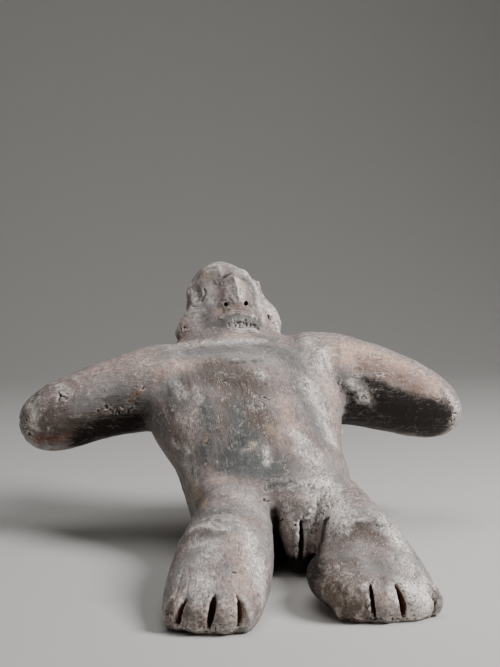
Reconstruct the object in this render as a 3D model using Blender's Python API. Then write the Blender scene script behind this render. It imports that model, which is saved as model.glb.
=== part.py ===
"""Hollow-built pottery figure of a seated person, as one solid.

The figure sits on the floor with its legs stretched out and apart, leans back, holds two stub arms out
to its sides and lifts its face. It faces -Y, +Z is up, and its left side is +X. Units are metres.
The origin is the bottom centre of its bounding box, on the plane that its seat and soles rest on.
"""

import math

import bmesh
import bpy
import numpy as np
from mathutils import Matrix, Vector

# Every length below is a number of parts of the figure's height. At the nominal height a part is 1 mm.
FIGURE_HEIGHT = 0.231
PART = FIGURE_HEIGHT / 231.0

# Trunk. Its axis rises from the seat towards the neck and leans to the figure's right.
TRUNK_LENGTH = 172 * PART
TRUNK_RISE_DEG = 41.0
TRUNK_LEAN_DEG = 5.2
TRUNK_SHIFT = 8 * PART
HIP_CENTRE_HEIGHT = 46 * PART
HIP_WIDTH = 135 * PART
HIP_THICKNESS = 88 * PART
WAIST_WIDTH = 141 * PART
WAIST_THICKNESS = 84 * PART
CHEST_WIDTH = 168 * PART
CHEST_THICKNESS = 86 * PART
SHOULDER_WIDTH = 140 * PART
SHOULDER_THICKNESS = 68 * PART
NECK_WIDTH = 64 * PART
NECK_THICKNESS = 49 * PART
# Rows are: share of the trunk's length, width, thickness, and offset towards its front.
TRUNK_ROWS = (
    (-0.22, HIP_WIDTH * 0.88, HIP_THICKNESS * 0.84, 0),
    (0.00, HIP_WIDTH, HIP_THICKNESS, 0),
    (0.26, WAIST_WIDTH, WAIST_THICKNESS, 0),
    (0.53, CHEST_WIDTH, CHEST_THICKNESS, 0),
    (0.80, SHOULDER_WIDTH, SHOULDER_THICKNESS, 0),
    (1.02, NECK_WIDTH * 1.6, NECK_THICKNESS, -4 * PART),
)
TRUNK_CAPS = (0.12, 0.06)
TRUNK_SQUARENESS = 0.92
NECK_ROWS = (
    (0.75, NECK_WIDTH * 1.24, NECK_THICKNESS * 1.15, 0),
    (0.95, NECK_WIDTH * 1.04, NECK_THICKNESS, -6 * PART),
    (1.17, NECK_WIDTH * 0.92, NECK_THICKNESS * 1.15, -6 * PART),
)
NECK_CAPS = (0.1, 0.2)

# Seat. The buttocks are two overlapping swellings that reach below the floor plane, where they are cut flat.
SEAT_SINK = 6 * PART
BUTTOCK_WIDTH = 78 * PART
BUTTOCK_DEPTH = 112 * PART
BUTTOCK_HEIGHT = 96 * PART
BUTTOCK_SPACING = 52 * PART
BUTTOCK_BACK = 12 * PART

# Clay that fills the groin between the thighs and rounds the thighs into the belly.
GROIN_CENTRE = Vector((-2 * PART, -44 * PART, 56 * PART))
GROIN_SIZE = (34 * PART, 22 * PART, 16 * PART)
RIGHT_LAP_CENTRE = Vector((-54 * PART, -26 * PART, 48 * PART))
RIGHT_LAP_SIZE = (22 * PART, 32 * PART, 22 * PART)
LEFT_LAP_CENTRE = Vector((26 * PART, -36 * PART, 58 * PART))
LEFT_LAP_SIZE = (22 * PART, 30 * PART, 18 * PART)

# Legs, from the hip joint to the toe tips. Height and width rows run evenly from the hip to the toes.
RIGHT_LEG_LENGTH = 200 * PART
LEFT_LEG_LENGTH = 188 * PART
RIGHT_HIP_OUT = 35 * PART
LEFT_HIP_OUT = 38 * PART
HIP_JOINT_FORWARD = 12 * PART
RIGHT_LEG_SPLAY_DEG = 16.0
LEFT_LEG_SPLAY_DEG = -0.3
RIGHT_LEG_WIDTHS = (53 * PART, 60 * PART, 71 * PART, 72 * PART, 63 * PART)
LEFT_LEG_WIDTHS = (46 * PART, 46 * PART, 62 * PART, 76 * PART, 73 * PART)
KNEE_HEIGHT = 60 * PART
TOE_HEIGHT = 24 * PART
LEG_HEIGHTS = (72 * PART, 72 * PART, KNEE_HEIGHT, 44 * PART, TOE_HEIGHT)
LEG_CAPS = (0.1, 0.1)
LEG_SQUARENESS = 0.84
KNEECAP_SHARE = 0.56
KNEECAP_SINK = 19 * PART
KNEECAP_SIZE = (28 * PART, 20 * PART, 20 * PART)
LEFT_INSTEP_CENTRE = Vector((14 * PART, -156 * PART, 20 * PART))
LEFT_INSTEP_SIZE = (27 * PART, 46 * PART, 18 * PART)

# Toes. Cut rows are: share of the foot's front arc from its inner side, width, length, middle's height.
RIGHT_TOE_CUTS = (
    (0.16, 4.6 * PART, 22 * PART, 16 * PART),
    (0.45, 5 * PART, 25 * PART, 16 * PART),
    (0.77, 4 * PART, 18 * PART, 14 * PART),
    (0.90, 2.8 * PART, 13 * PART, 10 * PART),
)
LEFT_TOE_CUTS = (
    (0.13, 2.0 * PART, 14 * PART, 9 * PART),
    (0.335, 3.4 * PART, 28 * PART, 15 * PART),
    (0.57, 5 * PART, 25 * PART, 15 * PART),
    (0.88, 3 * PART, 16 * PART, 6 * PART),
)
RIGHT_TOE_FAN_DEG = 95.0
LEFT_TOE_FAN_DEG = 108.0
TOE_ARC_WIDTH_SHARE = 0.61
TOE_ARC_DEPTH_SHARE = 0.45
TOE_ARC_BACK_SHARE = 0.48
TOE_DEPTH = 13 * PART
TOE_BACK = 6 * PART
TOE_SLIT_DEPTH = 14 * PART
TOE_SLIT_LEAN_DEG = 20.0
TOE_SLIT_TILT_DEG = 9.0

# Arms. Each runs straight out and down with a slight upward bow, and ends in a rounded stub.
SHOULDER_SHARE = 0.77
SHOULDER_JOINT_OUT = 42 * PART
RIGHT_ARM_LENGTH = 149 * PART
LEFT_ARM_LENGTH = 167 * PART
RIGHT_ARM_DROOP_DEG = 16.0
LEFT_ARM_DROOP_DEG = 16.0
RIGHT_ARM_BOW = 6 * PART
LEFT_ARM_BOW = 9 * PART
ARM_TIP_WIDTH = 47 * PART
RIGHT_ARM_WIDTHS = (72 * PART, 72 * PART, 64 * PART, 60 * PART, ARM_TIP_WIDTH)
LEFT_ARM_WIDTHS = (74 * PART, 80 * PART, 74 * PART, 65 * PART, ARM_TIP_WIDTH)
ARM_CAPS = (0.1, 0.2)
FINGER_CUT_ANGLES_DEG = (-42.0, -8.0, 26.0)
FINGER_CUT_WIDTH = 3 * PART
FINGER_CUT_LENGTH = 22 * PART
FINGER_CUT_DEPTH = 4 * PART
VENT_WIDTH = 3.8 * PART
VENT_DEPTH = 12 * PART

# Head. Places on it are shares of its width, its length and its depth from its centre.
HEAD_WIDTH = 68 * PART
HEAD_LENGTH = 92 * PART
HEAD_DEPTH = 66 * PART
HEAD_RISE_DEG = 58.0
HEAD_TURN_DEG = 5.0
HEAD_ROLL_DEG = 6.0
HEAD_OFFSET = 3 * PART
HEAD_ABOVE_NECK = 33.5 * PART
HEAD_FORWARD = 4 * PART
JAW_PLACE = (0, -0.20, 0.10)
JAW_SIZE = (35 * PART, 25 * PART, 26 * PART)
EYE_SOCKET_PLACE = (0.24, 0.13, 0.475)
EYE_SOCKET_SIZE = (9 * PART, 6 * PART, 10 * PART)
# The nose is a broad, low pyramid. Its rows are: place to the side, up the head and to its front, and the
# nose's width and height there.
NOSE_ROWS = (
    (0.075, 0.20, 0.46, 11 * PART, 5 * PART),
    (0.062, 0.09, 0.49, 21 * PART, 14 * PART),
    (0.050, -0.05, 0.49, 30 * PART, 19 * PART),
    (0.035, -0.19, 0.44, 37 * PART, 15 * PART),
)
NOSE_CAPS = (0.12, 0.18)
NOSE_EDGE = 1.6
NOSTRIL_PLACE = (0.01, -0.145, 0.50)
NOSTRIL_SPACING = 17.5 * PART
NOSTRIL_WIDTH = 4.2 * PART
NOSTRIL_DEPTH = 9 * PART
NOSTRIL_RISE_DEG = 36.0
# Brow and lip rows are: place to the side, up the head and to its front.
BROW_ROWS = ((0.06, 0.24, 0.40), (0.24, 0.25, 0.34), (0.36, 0.17, 0.24))
BROW_THICKNESS = 8 * PART
BROW_CAPS = (0.15, 0.15)
# The muzzle and the mouth sit a little to the figure's left.
MOUTH_SIDE = 0.055
MOUTH_UP = -0.34
MOUTH_FRONT = 0.50
MOUTH_WIDTH = 32 * PART
MOUTH_OPENING = 2.2 * PART
MOUTH_DEPTH = 10 * PART
MUZZLE_PLACE = (MOUTH_SIDE, -0.27, 0.31)
MUZZLE_SIZE = (22 * PART, 12 * PART, 17 * PART)
LIP_SPACING_SHARE = 0.11
LIP_THICKNESS = 8 * PART
LIP_SIDES = ((-0.24, 0.34), (-0.12, 0.42), (0.12, 0.42), (0.24, 0.34))
LIP_CAPS = (0.2, 0.2)
# Ear rows are: place to the side, up the head, to its front, and the flap's width there.
RIGHT_EAR_ROWS = (
    (0.34, 0.24, 0.12, 9 * PART),
    (0.42, 0.13, 0.12, 13 * PART),
    (0.43, -0.02, 0.14, 10 * PART),
    (0.50, -0.20, 0.15, 26 * PART),
    (0.58, -0.38, 0.10, 32 * PART),
)
LEFT_EAR_ROWS = (
    (0.34, 0.24, 0.12, 9 * PART),
    (0.41, 0.15, 0.12, 17 * PART),
    (0.40, 0.06, 0.13, 9 * PART),
    (0.44, -0.03, 0.14, 24 * PART),
    (0.49, -0.14, 0.15, 30 * PART),
    (0.50, -0.26, 0.15, 30 * PART),
    (0.52, -0.38, 0.10, 24 * PART),
)
EAR_CAPS = (0.12, 0.14)
EAR_THICKNESS = 16 * PART
EAR_SWEEP_DEG = 25.0
RIGHT_LOBE_HOLE = (0.62, -0.25, 0.16)
LEFT_LOBE_HOLE = (0.49, -0.22, 0.16)
LOBE_HOLE_WIDTH = 3 * PART

# Mound between the thighs, with one long cut down its front.
# Rows run down from the belly and are: place of the middle, width and thickness.
MOUND_ROWS = (
    (Vector((3, -38, 66)) * PART, 44 * PART, 22 * PART),
    (Vector((3, -50, 52)) * PART, 50 * PART, 34 * PART),
    (Vector((3, -59, 34)) * PART, 36 * PART, 40 * PART),
    (Vector((2, -59, 18)) * PART, 22 * PART, 36 * PART),
    (Vector((2, -56, 2)) * PART, 16 * PART, 30 * PART),
)
MOUND_CAPS = (0.15, 0.15)
MOUND_CUT_PLACE = Vector((0, -79 * PART, 28.5 * PART))
MOUND_CUT_LEAN_DEG = 12.0
MOUND_CUT_WIDTH = 4.8 * PART
MOUND_CUT_LENGTH = 38 * PART
MOUND_CUT_DEPTH = 18 * PART

# Sampling of the smooth skin.
BODY_VOXEL = 3.5 * PART
SKIN_VOXEL = 2.2 * PART
BODY_SMOOTHING = 14
SKIN_SMOOTHING = 4
SKIN_TRIANGLES = 7100
LIMB_SIDES = 40
LIMB_RINGS = 30
BALL_SIDES = 32
BALL_RINGS = 20
CUTTER_SIDES = 12
CUTTER_RINGS = 8
SHARP_EDGE_DEG = 50.0

CLAY = (0.36, 0.33, 0.315)
CLAY_ROUGHNESS = 0.62

UP = Vector((0, 0, 1))
TO_THE_FRONT = Vector((0, -1, 0))


def clear_scene():
    for old in list(bpy.data.objects):
        bpy.data.objects.remove(old, do_unlink=True)


def spline(values, share):
    """Catmull-Rom value at share 0 to 1 along evenly spaced rows of values."""
    rows = np.asarray(values, float)
    last = len(rows) - 1
    span = min(int(share * last), last - 1)
    t = share * last - span
    before = rows[max(span - 1, 0)]
    start = rows[span]
    end = rows[span + 1]
    after = rows[min(span + 2, last)]
    return 0.5 * (
        2 * start
        + (end - before) * t
        + (2 * before - 5 * start + 4 * end - after) * t**2
        + (3 * start - 3 * end + after - before) * t**3
    )


def round_off(share, cap_start, cap_end):
    """Radius factor that closes a limb with a round cap over its first and last shares."""
    if share < cap_start:
        return math.sqrt(max(0.0, 1 - (1 - share / cap_start) ** 2))
    if share > 1 - cap_end:
        return math.sqrt(max(0.0, 1 - (1 - (1 - share) / cap_end) ** 2))
    return 1.0


def limb(stations, side, caps, squareness=1.0):
    """Closed tube along stations (centre, full width along side, full height across it)."""
    bm = bmesh.new()
    rows = [[*centre, width / 2, height / 2] for centre, width, height in stations]
    rings = []
    for i in range(LIMB_RINGS):
        angle = math.pi * (i + 0.5) / LIMB_RINGS
        share = (1 - math.cos(angle)) / 2
        here = spline(rows, share)
        ahead = spline(rows, min(share + 0.01, 1.0)) - spline(rows, max(share - 0.01, 0.0))
        along = Vector(ahead[:3]).normalized()
        across = along.cross(side).normalized()
        wide = across.cross(along).normalized()
        cap = round_off(share, *caps)
        made = bmesh.ops.create_circle(bm, cap_ends=False, segments=LIMB_SIDES, radius=1.0)
        for vert in made["verts"]:
            x = math.copysign(abs(vert.co.x) ** squareness, vert.co.x)
            y = math.copysign(abs(vert.co.y) ** squareness, vert.co.y)
            vert.co = Vector(here[:3]) + wide * (x * here[3] * cap) + across * (y * here[4] * cap)
        rings.append(list({edge for vert in made["verts"] for edge in vert.link_edges}))
    for first, second in zip(rings, rings[1:]):
        bmesh.ops.bridge_loops(bm, edges=first + second)
    for ring in (rings[0], rings[-1]):
        bmesh.ops.holes_fill(bm, edges=ring)
    bmesh.ops.recalc_face_normals(bm, faces=bm.faces)
    return bm


def ball(centre, radii, turn=Matrix.Identity(3), sides=BALL_SIDES, rings=BALL_RINGS):
    """Ellipsoid with its half sizes along its own axes, turned by a rotation matrix."""
    bm = bmesh.new()
    matrix = Matrix.Translation(centre) @ turn.to_4x4() @ Matrix.Diagonal((*radii, 1))
    bmesh.ops.create_uvsphere(bm, u_segments=sides, v_segments=rings, radius=1.0, matrix=matrix)
    return bm


def blade(centre, width, depth, length, turn):
    """Cutter shaped as a thin lens, with its width, depth and length along X, Y and Z of the turn."""
    return ball(centre, (width / 2, depth, length / 2), turn, CUTTER_SIDES, CUTTER_RINGS)


def pin(centre, width, depth, direction):
    """Round cutter that runs depth to each side of its centre."""
    bm = bmesh.new()
    turn = direction.to_track_quat("Z", "Y").to_matrix().to_4x4()
    matrix = Matrix.Translation(centre) @ turn
    size = {"radius1": width / 2, "radius2": width / 2, "depth": 2 * depth}
    bmesh.ops.create_cone(bm, cap_ends=True, segments=CUTTER_RINGS, matrix=matrix, **size)
    return bm


def floor_cutter():
    """Block that fills the space under the floor plane."""
    bm = bmesh.new()
    size = 3 * FIGURE_HEIGHT
    matrix = Matrix.Translation((0, 0, -size / 2)) @ Matrix.Scale(size, 4)
    bmesh.ops.create_cube(bm, size=1.0, matrix=matrix)
    return bm


def facing(ahead):
    """Turn whose Y axis points back from a level direction and whose Z axis stays upright."""
    return Matrix((UP.cross(ahead), -ahead, UP)).transposed()


def join(shapes):
    """One mesh of all the shapes, each still its own shell."""
    whole = bmesh.new()
    for bm in shapes:
        mesh = bpy.data.meshes.new("shape")
        bm.to_mesh(mesh)
        bm.free()
        whole.from_mesh(mesh)
        bpy.data.meshes.remove(mesh)
    mesh = bpy.data.meshes.new("joined")
    whole.to_mesh(mesh)
    whole.free()
    return mesh


def add_object(name, mesh):
    made = bpy.data.objects.new(name, mesh)
    bpy.context.scene.collection.objects.link(made)
    return made


def apply_modifiers(made):
    """Bakes an object's modifiers into its own mesh."""
    graph = bpy.context.evaluated_depsgraph_get()
    graph.update()
    mesh = bpy.data.meshes.new_from_object(made.evaluated_get(graph))
    made.modifiers.clear()
    made.data = mesh


def melt(made, voxel, smoothing):
    """Fuses overlapping shells into one skin and softens the joints."""
    remesh = made.modifiers.new("Fuse", "REMESH")
    remesh.mode = "VOXEL"
    remesh.voxel_size = voxel
    smooth = made.modifiers.new("Soften", "SMOOTH")
    smooth.factor = 0.5
    smooth.iterations = smoothing
    apply_modifiers(made)


def thin_out(made, triangles):
    """Brings the skin down to a number of triangles."""
    thin = made.modifiers.new("Thin", "DECIMATE")
    thin.ratio = triangles / sum(len(face.vertices) - 2 for face in made.data.polygons)
    apply_modifiers(made)


def cut(made, cutters):
    """Takes each cutter's shape out of the body."""
    for cutter in cutters:
        tool = add_object("cutter", join([cutter]))
        tool.hide_render = True
        tool.display_type = "WIRE"
        carve = made.modifiers.new("Carve", "BOOLEAN")
        carve.operation = "DIFFERENCE"
        carve.solver = "EXACT"
        carve.object = tool
        apply_modifiers(made)
        bpy.data.objects.remove(tool, do_unlink=True)


class Trunk:
    """Axis of the body from the seat to the neck."""

    def __init__(self):
        rise = math.radians(TRUNK_RISE_DEG)
        lean = math.radians(TRUNK_LEAN_DEG)
        level = math.cos(lean)
        self.axis = Vector((-math.sin(lean), level * math.cos(rise), level * math.sin(rise)))
        self.side = (Vector((1, 0, 0)) - self.axis * self.axis.x).normalized()
        self.front = self.side.cross(self.axis)
        self.seat = Vector((-TRUNK_SHIFT, 0, HIP_CENTRE_HEIGHT))

    def point(self, share, side=0.0, front=0.0):
        """Point at a share of the trunk's length, with offsets to the figure's left and front."""
        return self.seat + self.axis * (share * TRUNK_LENGTH) + self.side * side + self.front * front

    def shape(self, rows, caps, squareness=1.0):
        stations = [(self.point(share, front=front), width, thickness)
                    for share, width, thickness, front in rows]
        return limb(stations, self.side, caps, squareness)

    def buttock(self, sign):
        across = sign * BUTTOCK_SPACING / 2 - TRUNK_SHIFT
        centre = Vector((across, BUTTOCK_BACK, BUTTOCK_HEIGHT / 2 - SEAT_SINK))
        return ball(centre, (BUTTOCK_WIDTH / 2, BUTTOCK_DEPTH / 2, BUTTOCK_HEIGHT / 2))


class Leg:
    """One stretched leg that lies on the floor and ends in a broad foot."""

    def __init__(self, sign, hip_out, splay_deg, length, widths, toe_cuts, toe_fan_deg):
        splay = math.radians(splay_deg) * sign
        self.sign = sign
        self.length = length
        self.widths = widths
        self.cuts = toe_cuts
        self.fan = math.radians(toe_fan_deg)
        self.ahead = Vector((math.sin(splay), -math.cos(splay), 0))
        self.side = Vector((math.cos(splay), math.sin(splay), 0))
        self.root = Vector((sign * hip_out, -HIP_JOINT_FORWARD, 0))

    def point(self, share, height=0.0):
        return self.root + self.ahead * (share * self.length) + UP * height

    def shape(self):
        """Leg that reaches below the floor plane, where it is cut flat."""
        stations = []
        for i, (height, width) in enumerate(zip(LEG_HEIGHTS, self.widths)):
            centre = self.point(i / (len(LEG_HEIGHTS) - 1), height / 2 - SEAT_SINK)
            stations.append((centre, width, height + SEAT_SINK))
        return limb(stations, self.side, LEG_CAPS, LEG_SQUARENESS)

    def kneecap(self):
        return ball(self.point(KNEECAP_SHARE, KNEE_HEIGHT - KNEECAP_SINK), KNEECAP_SIZE)

    def toe_place(self, share):
        """Point on the front arc of the foot at a share from its inner side, and the way it faces."""
        angle = (share - 0.5) * self.sign * self.fan
        facing_ahead = self.ahead * math.cos(angle) + self.side * math.sin(angle)
        reach = self.widths[-1]
        along = self.ahead * (reach * (TOE_ARC_DEPTH_SHARE * math.cos(angle) - TOE_ARC_BACK_SHARE))
        across = self.side * (reach * TOE_ARC_WIDTH_SHARE * math.sin(angle))
        return self.point(1.0) + along + across, facing_ahead

    def toes(self):
        made = []
        edges = (0.0, *[cut_row[0] for cut_row in self.cuts], 1.0)
        for inner, outer in zip(edges, edges[1:]):
            place, ahead = self.toe_place((inner + outer) / 2)
            centre = place - ahead * TOE_BACK + UP * (TOE_HEIGHT * 0.46)
            half_width = (outer - inner) * self.widths[-1] * TOE_ARC_WIDTH_SHARE
            made.append(ball(centre, (half_width, TOE_DEPTH, TOE_HEIGHT * 0.56), facing(ahead)))
        return made

    def toe_cutters(self):
        made = []
        for share, width, length, height in self.cuts:
            place, ahead = self.toe_place(share)
            lean = Matrix.Rotation(math.radians(-TOE_SLIT_LEAN_DEG), 3, "X")
            tilt = Matrix.Rotation(math.radians(-self.sign * TOE_SLIT_TILT_DEG), 3, "Y")
            turn = facing(ahead) @ tilt @ lean
            made.append(blade(place + UP * height, width, TOE_SLIT_DEPTH, length, turn))
        return made


class Arm:
    """Stub arm held out to one side, without a hand."""

    def __init__(self, trunk, sign, length, widths, droop_deg, bow):
        droop = math.radians(droop_deg)
        self.length = length
        self.widths = widths
        self.bow = bow
        self.out = Vector((sign * math.cos(droop), 0, -math.sin(droop)))
        self.above = Vector((sign * math.sin(droop), 0, math.cos(droop)))
        self.root = trunk.point(SHOULDER_SHARE, side=sign * SHOULDER_JOINT_OUT)
        self.end = self.root + self.out * (length - ARM_TIP_WIDTH / 2)

    def shape(self):
        stations = []
        for i, width in enumerate(self.widths):
            share = i / (len(self.widths) - 1)
            rise = UP * (self.bow * math.sin(math.pi * share))
            stations.append((self.root + self.out * (share * self.length) + rise, width, width))
        return limb(stations, Vector((0, 1, 0)), ARM_CAPS)

    def finger_cutters(self):
        """Short cuts across the stub's end, one above the other."""
        made = []
        for angle in map(math.radians, FINGER_CUT_ANGLES_DEG):
            away = self.out * math.cos(angle) + self.above * math.sin(angle)
            turn = Matrix((away.cross(TO_THE_FRONT), away, TO_THE_FRONT)).transposed()
            centre = self.end + away * (ARM_TIP_WIDTH / 2)
            made.append(blade(centre, FINGER_CUT_WIDTH, FINGER_CUT_DEPTH, FINGER_CUT_LENGTH, turn))
        return made

    def vent_cutter(self):
        """Round vent in the stub's front, towards its end."""
        direction = (self.out + TO_THE_FRONT).normalized()
        return pin(self.end + direction * (ARM_TIP_WIDTH / 2), VENT_WIDTH, VENT_DEPTH, direction)


class Head:
    """Head that is tipped back on the neck, so that the face looks up and to the front."""

    def __init__(self, trunk):
        self.turn = (
            Matrix.Rotation(math.radians(HEAD_RISE_DEG - 90), 3, "X")
            @ Matrix.Rotation(math.radians(-HEAD_ROLL_DEG), 3, "Y")
            @ Matrix.Rotation(math.radians(HEAD_TURN_DEG), 3, "Z")
        )
        neck_top = trunk.point(1.0, side=HEAD_OFFSET)
        self.centre = neck_top + self.turn @ Vector((0, -HEAD_FORWARD, HEAD_ABOVE_NECK))

    def point(self, side, up, front):
        """Point at shares of the head's width, length and depth from its centre."""
        return self.centre + self.turn @ Vector((side * HEAD_WIDTH, -front * HEAD_DEPTH, up * HEAD_LENGTH))

    def skull(self):
        return ball(self.centre, (HEAD_WIDTH / 2, HEAD_DEPTH / 2, HEAD_LENGTH / 2), self.turn)

    def jaw(self):
        return ball(self.point(*JAW_PLACE), JAW_SIZE, self.turn)

    def muzzle(self):
        return ball(self.point(*MUZZLE_PLACE), MUZZLE_SIZE, self.turn)

    def nose(self):
        stations = [(self.point(side, up, front), width, height)
                    for side, up, front, width, height in NOSE_ROWS]
        return limb(stations, self.turn @ Vector((1, 0, 0)), NOSE_CAPS, NOSE_EDGE)

    def brow(self, sign):
        stations = [(self.point(sign * side, up, front), BROW_THICKNESS, BROW_THICKNESS)
                    for side, up, front in BROW_ROWS]
        return limb(stations, self.turn @ UP, BROW_CAPS)

    def lip(self, up):
        stations = [(self.point(MOUTH_SIDE + side, up, front), LIP_THICKNESS, LIP_THICKNESS)
                    for side, front in LIP_SIDES]
        return limb(stations, self.turn @ UP, LIP_CAPS)

    def ear_side(self, sign):
        """Direction across the ear flap: outward and a little back."""
        sweep = math.radians(EAR_SWEEP_DEG)
        return self.turn @ Vector((math.cos(sweep), sign * math.sin(sweep), 0))

    def ear(self, sign, rows):
        """Ear pad with its long lobe, as one flap along the side of the head."""
        stations = [(self.point(sign * side, up, front), width, EAR_THICKNESS)
                    for side, up, front, width in rows]
        return limb(stations, self.ear_side(sign), EAR_CAPS)

    def eye_socket(self, sign):
        side, up, front = EYE_SOCKET_PLACE
        return ball(self.point(sign * side, up, front), EYE_SOCKET_SIZE, self.turn)

    def cutters(self):
        """Mouth slit, nostrils and lobe holes."""
        level = self.turn @ Matrix.Rotation(math.pi / 2, 3, "Y")
        mouth = self.point(MOUTH_SIDE, MOUTH_UP, MOUTH_FRONT)
        made = [blade(mouth, MOUTH_OPENING, MOUTH_DEPTH, MOUTH_WIDTH, level)]
        rise = math.radians(NOSTRIL_RISE_DEG)
        into_nose = self.turn @ Vector((0, math.cos(rise), math.sin(rise)))
        for sign, hole in ((-1, RIGHT_LOBE_HOLE), (1, LEFT_LOBE_HOLE)):
            aside = self.turn @ Vector((sign * NOSTRIL_SPACING / 2, 0, 0))
            made.append(pin(self.point(*NOSTRIL_PLACE) + aside, NOSTRIL_WIDTH, NOSTRIL_DEPTH, into_nose))
            side, up, front = hole
            through = (self.turn @ UP).cross(self.ear_side(sign))
            made.append(pin(self.point(sign * side, up, front), LOBE_HOLE_WIDTH, EAR_THICKNESS, through))
        return made


def mound_cutter():
    lean = Matrix.Rotation(math.radians(-MOUND_CUT_LEAN_DEG), 3, "X")
    return blade(MOUND_CUT_PLACE, MOUND_CUT_WIDTH, MOUND_CUT_DEPTH, MOUND_CUT_LENGTH, lean)


def build_figure():
    trunk = Trunk()
    head = Head(trunk)
    right_toes = (RIGHT_TOE_CUTS, RIGHT_TOE_FAN_DEG)
    left_toes = (LEFT_TOE_CUTS, LEFT_TOE_FAN_DEG)
    right_sizes = (RIGHT_HIP_OUT, RIGHT_LEG_SPLAY_DEG, RIGHT_LEG_LENGTH, RIGHT_LEG_WIDTHS)
    left_sizes = (LEFT_HIP_OUT, LEFT_LEG_SPLAY_DEG, LEFT_LEG_LENGTH, LEFT_LEG_WIDTHS)
    right_leg = Leg(-1, *right_sizes, *right_toes)
    left_leg = Leg(1, *left_sizes, *left_toes)
    right_arm = Arm(trunk, -1, RIGHT_ARM_LENGTH, RIGHT_ARM_WIDTHS, RIGHT_ARM_DROOP_DEG, RIGHT_ARM_BOW)
    left_arm = Arm(trunk, 1, LEFT_ARM_LENGTH, LEFT_ARM_WIDTHS, LEFT_ARM_DROOP_DEG, LEFT_ARM_BOW)

    masses = [trunk.shape(TRUNK_ROWS, TRUNK_CAPS, TRUNK_SQUARENESS), trunk.shape(NECK_ROWS, NECK_CAPS)]
    masses += [trunk.buttock(-1), trunk.buttock(1), right_arm.shape(), left_arm.shape()]
    masses += [right_leg.shape(), left_leg.shape(), ball(LEFT_INSTEP_CENTRE, LEFT_INSTEP_SIZE)]
    masses += [ball(RIGHT_LAP_CENTRE, RIGHT_LAP_SIZE), ball(LEFT_LAP_CENTRE, LEFT_LAP_SIZE)]
    masses += [ball(GROIN_CENTRE, GROIN_SIZE), head.skull(), head.jaw()]
    figure = add_object("pottery_figure", join(masses))
    melt(figure, BODY_VOXEL, BODY_SMOOTHING)
    cut(figure, [head.eye_socket(-1), head.eye_socket(1)])

    details = [head.nose(), head.muzzle()]
    details += [head.lip(MOUTH_UP - LIP_SPACING_SHARE / 2), head.lip(MOUTH_UP + LIP_SPACING_SHARE / 2)]
    details += [head.brow(-1), head.brow(1)]
    details += [head.ear(-1, RIGHT_EAR_ROWS), head.ear(1, LEFT_EAR_ROWS)]
    details += [right_leg.kneecap(), left_leg.kneecap(), *right_leg.toes(), *left_leg.toes()]
    details.append(limb(MOUND_ROWS, Vector((1, 0, 0)), MOUND_CAPS))
    body = bmesh.new()
    body.from_mesh(figure.data)
    figure.data = join([body, *details])
    melt(figure, SKIN_VOXEL, SKIN_SMOOTHING)
    thin_out(figure, SKIN_TRIANGLES)

    cut(figure, head.cutters() + [mound_cutter()])
    cut(figure, right_leg.toe_cutters() + left_leg.toe_cutters())
    cut(figure, right_arm.finger_cutters() + left_arm.finger_cutters() + [right_arm.vent_cutter()])
    cut(figure, [floor_cutter()])
    return figure


def centre_on_floor(figure):
    """Puts the origin at the bottom centre of the bounding box."""
    corners = np.array([vert.co for vert in figure.data.vertices])
    low = corners.min(axis=0)
    high = corners.max(axis=0)
    figure.data.transform(Matrix.Translation((-(low[0] + high[0]) / 2, -(low[1] + high[1]) / 2, -low[2])))


def finish(figure):
    figure.data.name = "pottery_figure"
    figure.data.shade_smooth()
    figure.data.set_sharp_from_angle(angle=math.radians(SHARP_EDGE_DEG))
    clay = bpy.data.materials.new("fired_clay")
    clay.use_nodes = True
    shader = clay.node_tree.nodes["Principled BSDF"]
    shader.inputs["Base Color"].default_value = (*CLAY, 1)
    shader.inputs["Roughness"].default_value = CLAY_ROUGHNESS
    shader.inputs["Metallic"].default_value = 0.0
    figure.data.materials.clear()
    figure.data.materials.append(clay)


def main():
    clear_scene()
    figure = build_figure()
    centre_on_floor(figure)
    finish(figure)


main()
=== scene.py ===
"""Looks of a hollow-built pottery figure that sits, leans back and lifts its face.

The skin is a finer copy of the figure's solid. It gets the unevenness of hand building, stroke marks, pits,
chips and ragged rims as real relief, and a worn, burnished clay finish with fire clouds, streaks and
stains, with painted shade and painted highlights in places. The stage is a pale sweep with soft studio light
and the camera.
"""

import math

import bmesh
import bpy
import numpy as np
from bpy.props import FloatProperty, FloatVectorProperty, IntProperty, PointerProperty
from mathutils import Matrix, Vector, noise
from mathutils.bvhtree import BVHTree


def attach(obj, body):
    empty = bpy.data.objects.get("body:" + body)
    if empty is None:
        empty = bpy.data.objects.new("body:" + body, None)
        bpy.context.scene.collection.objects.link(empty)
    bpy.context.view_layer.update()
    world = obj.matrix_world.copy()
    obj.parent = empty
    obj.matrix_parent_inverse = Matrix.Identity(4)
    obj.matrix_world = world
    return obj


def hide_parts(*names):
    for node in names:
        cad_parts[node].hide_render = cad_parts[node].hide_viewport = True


bl_info = {
    "name": "Hollow-built pottery figure",
    "version": (1, 0, 0),
    "blender": (4, 5, 0),
    "location": "View3D > Sidebar > Pottery figure",
    "description": "Dresses the seated figure in worn, burnished clay and sets its stage",
    "category": "Object",
}

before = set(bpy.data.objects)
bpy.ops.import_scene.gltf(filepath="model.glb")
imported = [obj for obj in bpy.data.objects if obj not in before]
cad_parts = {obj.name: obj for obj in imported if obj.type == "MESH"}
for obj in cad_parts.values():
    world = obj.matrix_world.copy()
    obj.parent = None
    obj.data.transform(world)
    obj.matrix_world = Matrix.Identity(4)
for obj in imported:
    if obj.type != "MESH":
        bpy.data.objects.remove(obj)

NODE = "pottery_figure"
BODY = "root"
MM = 0.001

# The picture that the marks are read from, in pixels, and the camera film that it fills.
PICTURE_WIDTH = 500
PICTURE_HEIGHT = 667
FILM = 36.0

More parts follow.
